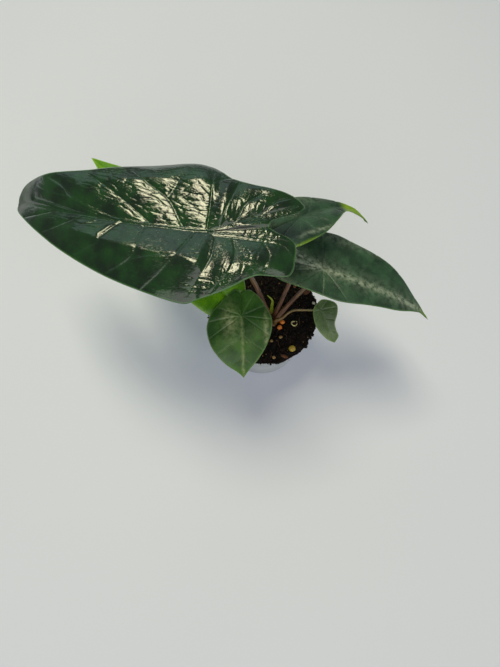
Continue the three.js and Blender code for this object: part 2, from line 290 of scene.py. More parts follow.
class Finish:
    """One material, ending in a single shader. Every node is made by node()."""

    def __init__(self, name):
        self.material = bpy.data.materials.new(name)
        self.material.use_nodes = True
        self.tree = self.material.node_tree
        self.tree.nodes.clear()

    def node(self, kind, settings=None, inputs=None, output=0):
        """A node of a type: its settings first, with a ramp's stops, then its sockets' values or links."""
        made = self.tree.nodes.new(kind)
        for key, value in (settings or {}).items():
            if key != "stops":
                setattr(made, key, value)
                continue
            ramp = made.color_ramp.elements
            while len(ramp) < len(value):
                ramp.new(0.5)
            for stop, (position, grey) in zip(ramp, value):
                stop.position = position
                stop.color = (grey, grey, grey, 1)
        for key, value in (inputs or {}).items():
            if isinstance(value, Wire):
                self.tree.links.new(value.socket, made.inputs[key])
            else:
                made.inputs[key].default_value = value
        return None if output is None else Wire(self, made.outputs[output])

    def mask(self, name):
        """A float painted on the piece's own points."""
        return self.node("ShaderNodeAttribute", {"attribute_name": name}, output="Fac")

    def plan(self, name):
        """A direction painted on the piece's own points, such as its unrolled place."""
        return self.node("ShaderNodeAttribute", {"attribute_name": name}, output="Vector")

    def place(self, stretch=(1, 1, 1)):
        """The point in the row frame, in mm, stretched along the axes."""
        spot = self.node("ShaderNodeTexCoord", output="Object")
        scale = tuple(s / MM for s in stretch)
        return self.node("ShaderNodeVectorMath", {"operation": "MULTIPLY"}, {0: spot, 1: scale})

    def noise(self, at, size, detail=3.0, rough=0.5, twist=0.0):
        """Clouds of a size in mm, from 0 to 1."""
        inputs = {"Vector": at, "Scale": 1 / size, "Detail": detail, "Roughness": rough, "Distortion": twist}
        return self.node("ShaderNodeTexNoise", None, inputs)

    def cells(self, at, size, feature="DISTANCE_TO_EDGE"):
        """Cells of a size in mm: the distance to their edges, or to their seeds for F1."""
        return self.node("ShaderNodeTexVoronoi", {"feature": feature}, {"Vector": at, "Scale": 1 / size})

    def between(self, value, low, high):
        """0 where value is below low, 1 above high, eased between."""
        settings = {"interpolation_type": "SMOOTHSTEP"}
        return self.node("ShaderNodeMapRange", settings, {"Value": value, "From Min": low, "From Max": high})

    def mix(self, share, a, b):
        """From colour a to colour b by share."""
        a, b = ((*c, 1) if isinstance(c, tuple) else c for c in (a, b))
        return self.node("ShaderNodeMix", {"data_type": "RGBA"}, {0: share, 6: a, 7: b}, output=2)

    def bump(self, height, distance, strength=1.0):
        """A normal from a height; distance is the height in mm that 1 stands for."""
        inputs = {"Height": height, "Distance": distance * MM, "Strength": strength}
        return self.node("ShaderNodeBump", None, inputs)

    def done(self, **sockets):
        """The shader, with its sockets named in words, wired to the surface."""
        inputs = {key.replace("_", " "): value for key, value in sockets.items()}
        shader = self.node("ShaderNodeBsdfPrincipled", None, inputs)
        self.node("ShaderNodeOutputMaterial", None, {"Surface": shader}, output=None)
        return self.material


def srgb(r, g, b):
    """A colour given as screen values 0 to 255, as linear light."""
    return tuple(c / 12.92 / 255 if c <= 10 else ((c / 255 + 0.055) / 1.055) ** 2.4 for c in (r, g, b))


def leaf_finish(name, deep, fresh, vein, below, rim, gloss, coat, halo=(0.3, 0.35, 0.3), crinkle=1.0,
                shine=0.5, lines=0.5):
    """Leaf skin: clouded green, lighter veins, a thin pale rim, a dull paler underside and fine crinkles.
    gloss is the roughness of the top, coat its wax, the sheen colour the colour of painted sheen and
    highlights along some veins and patches, with a few pale marks, and lines the strength of the vein
    colour. Young parts turn yellow-green, and so does a painted highlight along one leaf's margin."""
    f = Finish(name)
    spot = f.plan("unrolled")
    under = f.mask("under")
    line = f.mask("vein")
    cloud = f.noise(spot, 9, 3)
    fleck = f.noise(spot, 0.7, 3, 0.6)
    green = f.mix(f.between(cloud * 0.75 + fleck * 0.25, 0.36, 0.68), deep, fresh)
    green = f.mix(line * lines * f.between(fleck, 0.25, 0.6), green, vein)
    # Painted sheen and highlights, with a few pale marks: the sheen mask, broken up by clouds, turns the
    # green towards the sheen colour and makes the top a little rougher.
    sheen_and_pale_share = f.mask("halo") * f.between(f.noise(spot, 2.2, 4, 0.65), 0.33, 0.62)
    green = f.mix(sheen_and_pale_share, green, halo)
    green = f.mix(f.mask("rim"), green, rim)
    # Yellow-green: young tips, and on the upper right leaf a painted highlight along its right margin.
    green = f.mix(f.mask("young"), green, srgb(128, 166, 26))
    low = f.mix(line * 0.7, below, f.mix(cloud, rim, below))
    colour = f.mix(under, green, low)
    dull = f.mask("dull")
    patchy = f.between(f.noise(spot, 3.1, 4, 0.6), 0.4, 0.8)
    rough = gloss + dull * 0.5 + 0.14 * patchy + sheen_and_pale_share * 0.16 + under * 0.28
    fold = f.cells(f.plan("grain"), 1.0)
    small = f.between(fold, 0.0, 0.3) * 0.45 + f.noise(spot, 0.9, 3, 0.5) * 0.55
    height = small * (1 - 0.6 * under)
    return f.done(
        Base_Color=colour,
        Roughness=rough,
        Normal=f.bump(height, 0.06 * crinkle, 1.0),
        Specular_IOR_Level=shine,
        Coat_Weight=(1 - under) * (1 - dull) * coat,
        Coat_Roughness=0.12,
    )


def stalk_finish(name, brown, tan, green):
    """Stalk: streaks of brown and tan along its length, greener towards the blade, with a soft shine."""
    f = Finish(name)
    run = f.plan("unrolled")
    streak = f.noise(run, 0.5, 4, 0.6)
    cloud = f.noise(f.place(), 4.5, 3)
    colour = f.mix(f.between(streak, 0.35, 0.7), brown, tan)
    colour = f.mix(f.mask("tip") * 0.7 * f.between(cloud, 0.3, 0.6), colour, green)
    return f.done(
        Base_Color=colour,
        Roughness=0.34 + streak * 0.2,
        Normal=f.bump(streak, 0.08, 0.8),
        Specular_IOR_Level=0.55,
        Coat_Weight=0.15,
        Coat_Roughness=0.3,
    )


def soil_finish():
    """Damp soil: near black, with brown fibres, fine pale specks and a dull, crumbly surface."""
    f = Finish("damp_soil")
    at = f.place()
    crumb = f.cells(at, 0.9, "F1")
    cloud = f.noise(at, 2.6, 5, 0.65)
    dark = f.mix(f.between(cloud, 0.42, 0.76), srgb(9, 6, 6), srgb(40, 26, 19))
    fibre = f.between(f.noise(f.place((1, 0.25, 1)), 0.6, 4, 0.7, 1.5), 0.63, 0.72)
    colour = f.mix(fibre * 0.45, dark, srgb(92, 62, 38))
    speck = f.between(f.noise(at, 0.42, 2, 0.5), 0.76, 0.8)
    colour = f.mix(speck, colour, srgb(150, 122, 84))
    return f.done(
        Base_Color=colour,
        Roughness=0.62 + cloud * 0.35,
        Normal=f.bump(crumb * 0.5 + cloud, 0.5, 1.0),
        Specular_IOR_Level=0.25,
    )


def pot_finish():
    """Thin milky plastic: grey-blue, clouded, scuffed in fine rings and smeared with soil near the rim."""
    f = Finish("milky_plastic")
    at = f.place()
    cloud = f.noise(at, 14, 4)
    ring = f.noise(f.place((0.12, 0.12, 3)), 1.6, 3, 0.6)
    body = f.mix(f.between(cloud, 0.35, 0.7), srgb(164, 172, 174), srgb(187, 193, 193))
    body = f.mix(f.between(ring, 0.55, 0.75) * 0.35, body, srgb(140, 150, 154))
    height = f.node("ShaderNodeSeparateXYZ", None, {"Vector": at}, output="Z")
    smear = f.between(f.noise(f.place((1, 1, 0.35)), 3.4, 5, 0.7), 0.52, 0.7) * f.between(height, 30, 44)
    colour = f.mix(smear * 0.8, body, srgb(70, 54, 42))
    scuff = f.noise(f.place((0.2, 0.2, 2.4)), 0.8, 3, 0.7)
    return f.done(
        Base_Color=colour,
        Roughness=0.3 + smear * 0.4 + f.between(scuff, 0.5, 0.75) * 0.14,
        Normal=f.bump(ring * 0.6 + scuff * 0.2, 0.06, 0.6),
        Specular_IOR_Level=0.5,
        Subsurface_Weight=0.25,
        Subsurface_Radius=(0.006, 0.006, 0.007),
        Subsurface_Scale=1.0,
    )


def grain_finish(name, dark, light, size, rough, distance, coat=0.0):
    """Small loose pieces: two colours clouded together at a size in mm, with a fine uneven surface."""
    f = Finish(name)
    at = f.place()
    cloud = f.noise(at, size, 4, 0.6)
    pit = f.noise(at, size * 0.28, 3, 0.6)
    return f.done(
        Base_Color=f.mix(f.between(cloud * 0.7 + pit * 0.3, 0.36, 0.66), dark, light),
        Roughness=rough + pit * 0.15,
        Normal=f.bump(pit + cloud, distance, 0.8),
        Specular_IOR_Level=0.5,
        Coat_Weight=coat,
        Coat_Roughness=0.2,
    )


# ---------------------------------------------------------------------------------------------------
# Leaf blades
# ---------------------------------------------------------------------------------------------------

# joint is where the stalk meets the blade, heading the compass angle of the midrib from +X, pitch its
# slope at the joint and the tip, lobes the slope gained at the end of the basal lobes, roll the turn about
# the midrib, fold and droop the bend of the left and right halves. The outlines give [along the midrib,
# half width] from the notch round the basal lobe to the tip.
BLADES = {
    "blade_large": {
        "joint": (-23.4, 4.9, 118), "heading": 171, "sweep": -34, "roll": (-4, -26), "pitch": (-4, -53),
        "power": 3, "lobes": 12, "fold": (16, 16), "droop": (0.02, 0.02), "wave": 0.5, "keel": 1.3,
        "veins": 12,
        "left": [(-23.7, -4.9), (-27.2, -3.2), (-31.2, -2.1), (-34.6, 0), (-35.4, 3.5), (-35.2, 7.5),
                 (-35, 11.7), (-33.3, 15), (-29, 15.9), (-22.3, 16.6), (-18.4, 18.6), (-13, 22.6),
                 (-7, 26.1), (0, 29.3), (6, 31.5), (20, 29), (38, 24.5), (58, 17.5), (71, 12.6), (85, 7.6),
                 (97, 3.8), (108, 0)],
        "right": [(-23.7, 4.9), (-24.2, 7.5), (-27.3, 9.5), (-33.6, 12.4), (-37.2, 15.6), (-36.3, 17.6),
                  (-33.2, 19.6), (-28.7, 21), (-22, 22), (-13, 23.4), (-5, 25.8), (4, 30.3), (24, 29.5),
                  (46, 24.5), (60, 20.2), (74, 16.2), (89, 11.4), (101, 7), (108, 0)],
    },
    "blade_upper_right": {
        "joint": (15.3, 22.9, 100), "heading": 28, "sweep": -50, "roll": (-14, -14), "pitch": (-8, -60),
        "power": 1.8, "lobes": 10, "fold": (10, 14), "droop": (0.02, 0.025), "wave": 0.6, "keel": 1.1,
        "veins": 7,
        "left": [(-15, 0), (-17, 3), (-20, 8), (-18, 12), (-8, 13.5), (4, 12.2), (15, 8), (23, 3.2), (30, 1),
                 (43, 0)],
        "right": [(-15, 0), (-17, 3), (-20, 9), (-16, 14), (-8, 16), (4, 14), (15, 9), (23, 3.5), (30, 1),
                  (43, 0)],
    },
    "blade_lower_right": {
        "joint": (26.6, 4.5, 86), "heading": -11, "sweep": -16, "roll": (-6, -6), "pitch": (-8, -42),
        "power": 1.3, "lobes": 4, "fold": (10, 10), "droop": (0.015, 0.03), "wave": 0.5, "keel": 1.2,
        "veins": 8,
        "left": [(-14.5, 0), (-16.5, 2.8), (-20, 4), (-25, 8), (-22, 14.5), (-12, 18.5), (2, 20.5),
                 (12, 19.5), (26, 15.5), (40, 9.5), (50, 4.2), (56.5, 1), (62.5, 0)],
        "right": [(-14.5, 0), (-16.5, 2.6), (-19.5, 3.8), (-23.5, 7.2), (-19, 10.5), (-12, 12), (2, 13.6),
                  (12, 14), (26, 11.5), (40, 7.8), (50, 3.4), (56.5, 0.9), (62.5, 0)],
    },
    "blade_new": {
        "joint": (-33.2, 11.4, 80), "heading": 131.5, "sweep": 0, "roll": (-6, -6), "pitch": (0, -10),
        "power": 1, "lobes": 26, "fold": (14, 14), "droop": (0.02, 0.02), "wave": 0.4, "keel": 1,
        "veins": 7,
        "left": [(-24, 0), (-27, 1.6), (-30, 5.5), (-27, 10.5), (-17, 14), (0, 16), (20, 15.5), (42, 12),
                 (62, 7), (77, 2.6), (89, 0)],
        "right": [(-24, 0), (-26.5, 1.6), (-29, 5), (-26, 9.5), (-14, 15.5), (0, 19), (20, 19), (42, 16),
                  (60, 11.5), (76, 5), (89, 0)],
    },
    "blade_small_oval": {
        "joint": (-10.8, -15.5, 78), "heading": -88, "sweep": 0, "roll": (0, 0), "pitch": (-6, -28),
        "power": 1, "lobes": 6, "fold": (8, 8), "droop": (0.02, 0.02), "wave": 0.5, "keel": 0.9,
        "veins": 7,
        "left": [(-11, 0), (-12.5, 4), (-9, 8.5), (-3.5, 11.8), (2, 13.8), (8, 13.3), (14, 11), (20, 7),
                 (25, 2.6), (28.5, 0)],
        "right": [(-11, 0), (-13, 3), (-9, 7.6), (-2.5, 13.4), (4, 16.4), (10, 15.9), (16, 13.2), (22, 8.2),
                  (26, 2.6), (28.5, 0)],
    },
    "blade_tiny": {
        "joint": (28.6, -4.9, 59), "heading": -62, "sweep": 0, "roll": (0, 0), "pitch": (-10, -44),
        "power": 1, "lobes": 8, "fold": (12, 12), "droop": (0.02, 0.02), "wave": 0.2, "keel": 0.6,
        "veins": 5,
        "left": [(-4, 0), (-4.5, 3.5), (-1.5, 7.5), (1.5, 8.8), (5, 7), (9, 3.6), (13, 3), (16, 3),
                 (18.5, 0)],
        "right": [(-4, 0), (-3.2, 2), (0, 4.6), (5, 6.2), (9, 5.8), (14, 3.8), (16.5, 2), (18.5, 0)],
    },
}
LOBE_REACH = 37     # the far end of the basal lobes behind the joint, where their slope is given
LEAN = 0.75         # how far a side vein runs forward for each mm of half width
SKIN = 0.25         # half the sheet's thickness

# The large blade's side veins on the flat blade, [along the midrib, across it, left positive].
LARGE_VEINS = [
    [(1, -1), (1, -11), (2, -25)],
    [(2, -20), (-1, -23), (-6, -26)],
    [(11, -1), (18, -11), (24, -15), (30, -18), (38, -23)],
    [(19, -13), (17, -17), (15, -23)],
    [(24, -0.5), (36, -8), (48, -14), (58, -18)],
    [(38, -1), (50, -3), (62, -6), (74, -7), (84, -9)],
    [(52, 0), (68, -2), (84, -3)],
    [(62, -6), (70, -11), (78, -13)],
    [(-1, -1), (-12, -6), (-23, -11), (-34, -16)],
    [(-10, -5), (-13, -13), (-19, -19)],
    [(-20, -10), (-25, -16), (-31, -19)],
    [(-4, -3), (-6, -12), (-9, -24)],
    [(6, 1), (10, 12), (15, 20), (22, 28)],
    [(27, 1), (27, 12), (28, 16), (37, 23)],
    [(28, 16), (21, 14), (11, 13)],
    [(38, 1), (42, 8), (44, 12), (52, 18)],
    [(54, 0), (61, 5), (70, 11)],
    [(68, 0), (76, 4), (84, 7)],
    [(-2, 2), (-17, 2), (-30, 3), (-35, 9)],
    [(-10, 2), (-12, 9), (-11, 17), (-5, 26)],
    [(-22, 2), (-25, 8), (-23, 15)],
    [(-3, 2), (-3, 12), (3, 26)],
]


def midrib(b, x):
    """Point, sideways and upward directions of the midrib at x: the point is the sum of its directions from
    the joint, whose slope and heading change along it."""
    length = b["left"][-1][0]
    far = np.linspace(-1.2 * LOBE_REACH, 1.02 * length, 700)
    forward = np.clip(far / length, 0, None)
    backward = np.clip(-far / LOBE_REACH, 0, None)
    pitch = np.radians(blend(*b["pitch"], forward ** b["power"]) + b["lobes"] * backward)
    heading = np.radians(b["heading"] + b["sweep"] * far * np.abs(far) / length**2)
    level_run = np.stack([np.cos(heading), np.sin(heading), 0 * far], 1)
    along = level_run * np.cos(pitch)[:, None] + np.array([0, 0, 1]) * np.sin(pitch)[:, None]
    steps = (along[1:] + along[:-1]) / 2 * np.diff(far)[:, None]
    run = np.concatenate([[[0, 0, 0]], np.cumsum(steps, axis=0)])
    run -= [np.interp(0, far, run[:, k]) for k in range(3)]
    level = np.stack([-np.sin(heading), np.cos(heading), 0 * far], 1)
    roll = np.radians(blend(*b["roll"], forward**2))[:, None]
    side = level * np.cos(roll) + np.cross(along, level) * np.sin(roll)
    up = np.cross(along, side)
    columns = np.hstack([run + np.array(b["joint"]), side, up])
    found = np.stack([np.interp(x, far, columns[:, k]) for k in range(9)], -1)
    return found[..., :3], found[..., 3:6], found[..., 6:]


def onto_blade(b, x, y, lift):
    """A flat place (x, y) of the blade, y positive on the left, in the row frame: each half turns by its
    fold at the midrib and bends down at a steady rate, and lift is measured square to the sheet."""
    half = (y < 0).astype(int)
    fold = np.radians(np.array(b["fold"]))[half]
    droop = np.array(b["droop"])[half]
    tilt = fold - droop * np.abs(y)
    out = (np.sin(fold) - np.sin(tilt)) / droop * np.sign(y)
    rise = (np.cos(tilt) - np.cos(fold)) / droop
    point, side, up = midrib(b, x)
    leaning = tilt * np.sign(y) * np.clip(np.abs(y) / 1.5, 0, 1)
    square = up * np.cos(leaning)[..., None] - side * np.sin(leaning)[..., None]
    return point + side * out[..., None] + up * rise[..., None] + square * lift[..., None]


def to_lines(x, y, lines):
    """Distance from flat places to the nearest of some smooth lines."""
    nearest = np.full(x.shape, 99.0)
    for line in lines:
        p = curve(line, np.linspace(0, 1, 3 * len(line)))
        for (ax, ay), (bx, by) in zip(p, p[1:]):
            dx, dy = bx - ax, by - ay
            t = np.clip(((x - ax) * dx + (y - ay) * dy) / (dx * dx + dy * dy), 0, 1)
            nearest = np.minimum(nearest, np.hypot(x - ax - t * dx, y - ay - t * dy))
    return nearest


def facets(slopes, part, width, fold, droop):
    """Height that turns the steady bend of a half blade into facets: slopes gives [share of the half width,
    slope in degrees], and the height is the sum of the slopes wanted less those of the steady bend."""
    at = np.linspace(0, 1, 300)[:, None]
    wanted = np.interp(at[:, 0], [a for a, _ in slopes], [d for _, d in slopes])
    steady = np.radians(fold) - droop * at * width
    rise = np.tan(np.radians(wanted))[:, None] - np.tan(steady)
    height = np.cumsum(rise, axis=0) * width / 300
    place = np.clip(part * 299, 0, 298.999)
    k = place.astype(int)
    row = np.arange(part.shape[0])[:, None] + 0 * k
    return blend(height[k, row], height[k + 1, row], place - k)


def patches(x, y, spots, floor=0.22):
    """1 inside soft-edged ovals given as [centre x, centre y, half length, half breadth], floor outside."""
    inside_ = [np.exp(-((((x - cx) / rx) ** 2 + ((y - cy) / ry) ** 2) ** 2)) for cx, cy, rx, ry in spots]
    return floor + (1 - floor) * np.max(inside_, axis=0)


def leaf(name, finish, slot, rows, half, under, puff, veins=None, halo=None, pad=(2.6, 6.5, 0.22), form=None,
         ridges=None, quilted=None, young=None):
    """A blade as a closed skin. Rows follow the side veins from the midrib to the margin, equal steps of the
    outline apart. puff is the height of the pads between side veins on the left and right, pad the
    length, breadth and height of the small cushions, veins the side veins' own lines, ridges lines that
    stand proud, form the facets of the two halves, quilted the patches where the cushions are full, and
    the last two masks are worked out from x, y: one for painted sheen and highlights with a few pale marks,
    one for the yellow-green parts."""
    b = BLADES[name]
    length = b["left"][-1][0]
    share = np.linspace(0, 1, rows)
    left, left_run = evenly(b["left"], share, power=0, mirrored=False)
    right, right_run = evenly(b["right"], share, power=0, mirrored=False)
    centre = (left + right) / 2
    root = np.clip(centre[:, 0] - LEAN * centre[:, 1], 0, length)[:, None]

    top = np.linspace(-1, 1, 2 * half + 1)
    back = np.linspace(1, -1, 2 * under + 1)[1:-1]
    column = np.concatenate([top, back])[None]
    below = np.concatenate([np.zeros(top.size), np.ones(back.size)])[None]
    part = np.abs(column) + 0 * share[:, None]
    is_right = column > 0
    edge_x = np.where(is_right, right[:, :1], left[:, :1])
    edge_y = np.where(is_right, right[:, 1:], left[:, 1:])
    run = np.where(is_right, right_run, left_run)
    x = blend(root, edge_x, part)
    y = np.where(is_right, -1, 1) * edge_y * part
    across = np.hypot(edge_x - root, edge_y)
    outward, around = across * part, run * share[:, None] + np.where(is_right, 400, 0)

    ends = ease(share, 0, 0.012)[:, None] * ease(1 - share, 0, 0.03)[:, None]
    rib = np.where(x > 0, np.abs(y), np.hypot(x, y))
    inner = ease(rib, 0, 1.4) * ends
    if veins:
        away = to_lines(x, y, veins)
    else:
        spread = run / b["veins"] * np.where(root > 0, 1, part)
        away = spread * np.abs(np.sin(np.pi * share[:, None] * b["veins"])) / np.pi
        away = away + 0.25 * waves(outward / 5, around / 5, 3)
    near = np.minimum(np.clip(away, 0, None), np.where(x > 0, rib, 99))
    margin = (1 - part) * across

    s, t = 1.25 * y, x - LEAN * np.abs(y)
    wander = waves(s / 7, t / 9, 5, 2)
    cushion = pads(s / pad[0] + 0.5 * wander, t / pad[1] + 0.35 * wander, 11)
    ribbed = pads(x / 2.5 + 0.4 * wander, y / 7 + 0.3 * wander, 12)
    cushion = 1 - np.exp(-6 * blend(cushion, ribbed, ease(-x, 2, 7)))
    busy = patches(x, y, quilted) if quilted else 1
    swell = np.where(is_right, puff[1], puff[0]) * np.tanh(near / 3.6) * (0.75 + 0.25 * wander)
    swell = swell * ease(margin, -1, 5)
    groove = -0.2 * np.exp(-((near / 0.4) ** 2))
    ridge = 0.16 * np.exp(-((rib / 0.45) ** 2)) * (x > 0) * ease(length - x, 0, 30)
    step = share[:, None] * b["veins"] * 4
    ripple = b["wave"] * part**2 * np.sin(np.pi * step / 5 + 2 * is_right) * ends
    cushion = pad[2] * busy * cushion * ease(margin, 0, 2.5)
    lift = inner * (swell + groove + cushion) + ridge * ends + ripple
    lift = lift + 0.3 * waves(x / 11, y / 11, 8, 2) * inner
    if form:
        width = np.clip(centre[:, 1], 1, None)[None]
        bent = part + 0.035 * waves(x / 9, y / 9, 15, 2) * ease(part, 0, 0.2)
        shaped = np.where(is_right, facets(form["right"], bent, width, b["fold"][1], b["droop"][1]),
                          facets(form["left"], bent, width, b["fold"][0], b["droop"][0]))
        behind = np.clip(-x, 0, None)
        dip = behind * np.exp(-((behind / 13) ** 2)) * ease(np.abs(y), 0, 4) * ease(margin, 0, 6)
        shaped = shaped * ease(x, *form["from"]) * ease(-x, *form["to"])
        lift = lift + (shaped - form["hinge"] * dip) * ends
        at, height = np.array(form["lobes"], float).T
        folded = np.mean([np.interp(y + d, at, height) for d in (-0.6, -0.3, 0, 0.3, 0.6)], axis=0)
        pleat = 1.1 * np.exp(-(((x + 5) / 3) ** 2)) * ease(-y, 3, 8) * ease(margin, 0, 6)
        lift = lift + (folded * ease(-x, 3, 11) * ease(margin, 0, 8) + pleat) * ends
    if ridges:
        proud = to_lines(x, y, ridges)
        lift = lift + 0.42 * np.exp(-((proud / 0.55) ** 2)) * ends

    thick = SKIN * np.minimum(1, 0.35 + centre[:, 1:] / 3) * np.sqrt(1 - part**24)
    keel = b["keel"] * np.exp(-((rib / 0.9) ** 2)) * (1 - 0.75 * np.clip(x / length, 0, 1)) * (x > -2) * ends
    cord = 0.35 * np.exp(-((away / 0.5) ** 2)) * ease(margin, 1, 7) * ends
    lift = lift + np.where(below > 0, -thick - keel - cord, thick)
    points = onto_blade(b, x, y, lift)

    line = np.exp(-((near / 0.4) ** 2)) * (1 if veins else 0.3)
    line = line + 0.7 * np.exp(-((rib / 0.6) ** 2)) * (x > 0)
    masks = {
        "unrolled": np.stack([x, y, 60 * below + 0 * x], -1),
        "grain": np.stack([s / 0.9, t / 1.7, 9 * below + 0 * s], -1),
        "vein": np.clip(line, 0, 1),
        "rim": ease(0.8 - margin, 0, 0.6) * (1 - below * 0.5),
        "under": below + 0 * x,
        # the mask of painted sheen and highlights, with a few pale marks
        "halo": np.clip(halo(x, y), 0, 1) if halo else 0 * x,
        # yellow-green: young tips, and on one leaf a painted highlight along its margin
        "young": np.clip(young(x, y), 0, 1) if young else 0 * x,
        "dull": ease(x / length, 0.72, 0.95),
    }
    return place(skin(name, points, finish, masks), slot, name)


# The sheen colour given to each finish below is the colour of painted sheen and highlights; on some leaves
# the same mask also lays pale marks.
dark_leaf = leaf_finish(
    "glossy_dark_leaf", srgb(6, 32, 8), srgb(22, 66, 18), srgb(34, 78, 36), srgb(92, 116, 78),
    srgb(60, 112, 44), gloss=0.13, coat=0.6, halo=srgb(34, 62, 50), shine=0.7, lines=0.35)
grey_leaf = leaf_finish(
    "greyed_leaf", srgb(26, 54, 36), srgb(54, 90, 62), srgb(84, 110, 86), srgb(104, 124, 92),
    srgb(72, 112, 58), gloss=0.36, coat=0.1, halo=srgb(146, 160, 140), lines=0.3)
new_leaf = leaf_finish(
    "fresh_leaf", srgb(72, 128, 10), srgb(112, 172, 18), srgb(150, 196, 50), srgb(128, 172, 40),
    srgb(140, 190, 40), gloss=0.26, coat=0.25, crinkle=0.7)
mid_leaf = leaf_finish(
    "middle_leaf", srgb(34, 76, 20), srgb(72, 118, 44), srgb(112, 150, 78), srgb(110, 140, 80),
    srgb(92, 130, 58), gloss=0.34, coat=0.12, halo=srgb(162, 172, 122), lines=0.45)
tiny_leaf = leaf_finish(
    "tiny_leaf", srgb(62, 90, 46), srgb(104, 128, 84), srgb(128, 150, 110), srgb(126, 150, 96),
    srgb(120, 146, 84), gloss=0.36, coat=0.1, lines=0.3)


def sheen_large(x, y):
    """Painted blue-grey reflection on the left half near the midrib and along the right margin."""
    near = ease(y, 0, 2) * ease(17 - y - 0.12 * np.abs(x - 8), 0, 10)
    left = near * ease(34 - x, 0, 10) * ease(x + 30, 0, 12)
    far = ease(-y - 20, 0, 5) * ease(x + 6, 0, 8) * ease(48 - x, 0, 20)
    return 0.6 * left + 0.5 * far


def sheen_upper(x, y):
    """A painted highlight as a pale stripe inside the right margin, and faint silver over the left half."""
    stripe = np.exp(-(((y + 11.5) / 1.1) ** 2)) * ease(x, -14, -6) * ease(14 - x, 0, 8)
    return 0.7 * stripe + 0.22 * ease(y, 2, 9)


def yellow_tip_and_margin_highlight(x, y):
    """The drip tip has stayed yellow-green; the thin yellow-green band along the right margin is a painted
    highlight.
    """
    return np.maximum(ease(x, 21, 26), 0.6 * ease(-y - 14, 0, 1.6))


def sheen_lower(x, y):
    """Painted silvery sheen along the midrib and the first basal veins."""
    fans = [[(0, 0), (-6, 1.8), (-14, 6)], [(0, 0), (-6, -0.4), (-14, 1.6)],
            [(0, 0), (9, -1), (28, -2), (60, 0)]]
    near = to_lines(x, y, fans)
    return 0.85 * np.exp(-((near / 1.6) ** 2)) + 0.3 * np.exp(-((near / 5) ** 2)) + 0.3 * ease(y - 12, 0, 6)


def sheen_oval(x, y):
    """Pale rim on the left of the midrib's run, and a painted highlight patch beside the joint."""
    highlight_patch = np.exp(-(((x - 2) / 7) ** 2) - ((y + 5.5) / 3.2) ** 2)
    stripe = np.exp(-(((y - 11) / 1) ** 2)) * ease(x, -5, 2) * ease(16 - x, 0, 5)
    return 0.95 * highlight_patch + 0.8 * stripe + 0.5 * np.exp(-((y / 0.8) ** 2)) * (x > 0)


# The large blade is nearly flat beside the midrib and turns down at a shoulder, sooner on the left.
LARGE_FORM = {
    "left": [(0, 17), (0.44, 14), (0.5, -16), (1, -21)],
    "right": [(0, 15), (0.08, 9), (0.64, 7), (0.76, -20), (1, -25)],
    "from": (-2, 1.5), "to": (-70, -40), "hinge": 0.05,
    "lobes": [(-22, -0.4), (-14.5, 0), (-9, -0.6), (-4.5, 0.6), (-2.5, 0), (0, 0.2), (2, 0.2), (14, 1.3),
              (25, 1.5)],
}
LARGE_QUILTED = [
    (18, -12, 23, 11), (42, -15, 15, 6), (-17, -12, 9, 4), (-3, 25, 9, 5), (-15, 16.5, 8, 3),
    (-21, -1.5, 9, 3), (-19, 9, 3, 2), (48, 3, 10, 3),
]
LARGE_RIDGES = [
    [(1, -0.4), (20, -0.4), (38, -0.8), (50, -3), (62, -6), (74, -7), (84, -9)],
    [(38, 0.5), (41, 4), (44, 8)],
]

leaf("blade_large", dark_leaf, "leaf_dark", 400, 80, 26, (0.4, 0.7), LARGE_VEINS, sheen_large,
     pad=(3.2, 8, 0.26), form=LARGE_FORM, ridges=LARGE_RIDGES, quilted=LARGE_QUILTED)
leaf("blade_upper_right", grey_leaf, "leaf_grey", 240, 44, 20, (0.3, 0.3), halo=sheen_upper,
     pad=(2.2, 5, 0.1), young=yellow_tip_and_margin_highlight)
leaf("blade_lower_right", grey_leaf, "leaf_grey", 260, 50, 22, (0.3, 0.3), halo=sheen_lower,
     pad=(2.2, 5, 0.06), young=lambda x, y: 0.8 * ease(x, 52, 62))
leaf("blade_new", new_leaf, "leaf_new", 240, 40, 20, (0.7, 0.7), pad=(2.4, 5, 0.15))
leaf("blade_small_oval", mid_leaf, "leaf_mid", 220, 44, 20, (0.3, 0.3), halo=sheen_oval,
     pad=(1.8, 3.6, 0.08))
leaf("blade_tiny", tiny_leaf, "leaf_mid", 160, 30, 14, (0.3, 0.3), pad=(1.4, 2.8, 0.06))


# ---------------------------------------------------------------------------------------------------
# Stalks, shoot and neck
# ---------------------------------------------------------------------------------------------------

neck_low, neck_high = corners("neck")
NECK = (neck_low + neck_high) / 2
NECK_TOP = neck_high[2]
STALK_RING = 2.7        # the stalks stand in a ring of this radius on the neck
STALK_FOOT = NECK_TOP - 2.1

# at is the angle round the neck, r the radius at the foot and the blade, and via the points between.
STALKS = {
    "stalk_large": ("blade_large", 150, (1.15, 1), [(-1.2, -2.2, 68), (-5.9, -1.7, 88), (-12.5, 0.5, 106)]),
    "stalk_upper_right": ("blade_upper_right", 50, (1.05, 0.9),
                          [(9.4, 0.6, 62), (12.2, 4.4, 77), (9.5, 8, 88), (11, 14, 95)]),
    "stalk_lower_right": ("blade_lower_right", 0, (1.1, 0.9), [(13.2, -1.2, 60), (19.9, 1.2, 74)]),
    "stalk_new": ("blade_new", 200, (0.95, 0.8), [(-5, -5.5, 54), (-18, -1, 62), (-28, 6, 71)]),
    "stalk_small_oval": ("blade_small_oval", 250, (0.9, 0.7), [(1, -10, 58), (-5, -13.5, 69)]),
    "stalk_tiny": ("blade_tiny", 305, (0.6, 0.5), [(9.4, -6.4, 52), (14.5, -3.6, 55), (22, -4, 57.2)]),
}


def neck_point(angle, height):
    turn = math.radians(angle)
    return (NECK[0] + STALK_RING * math.cos(turn), NECK[1] + STALK_RING * math.sin(turn), height)


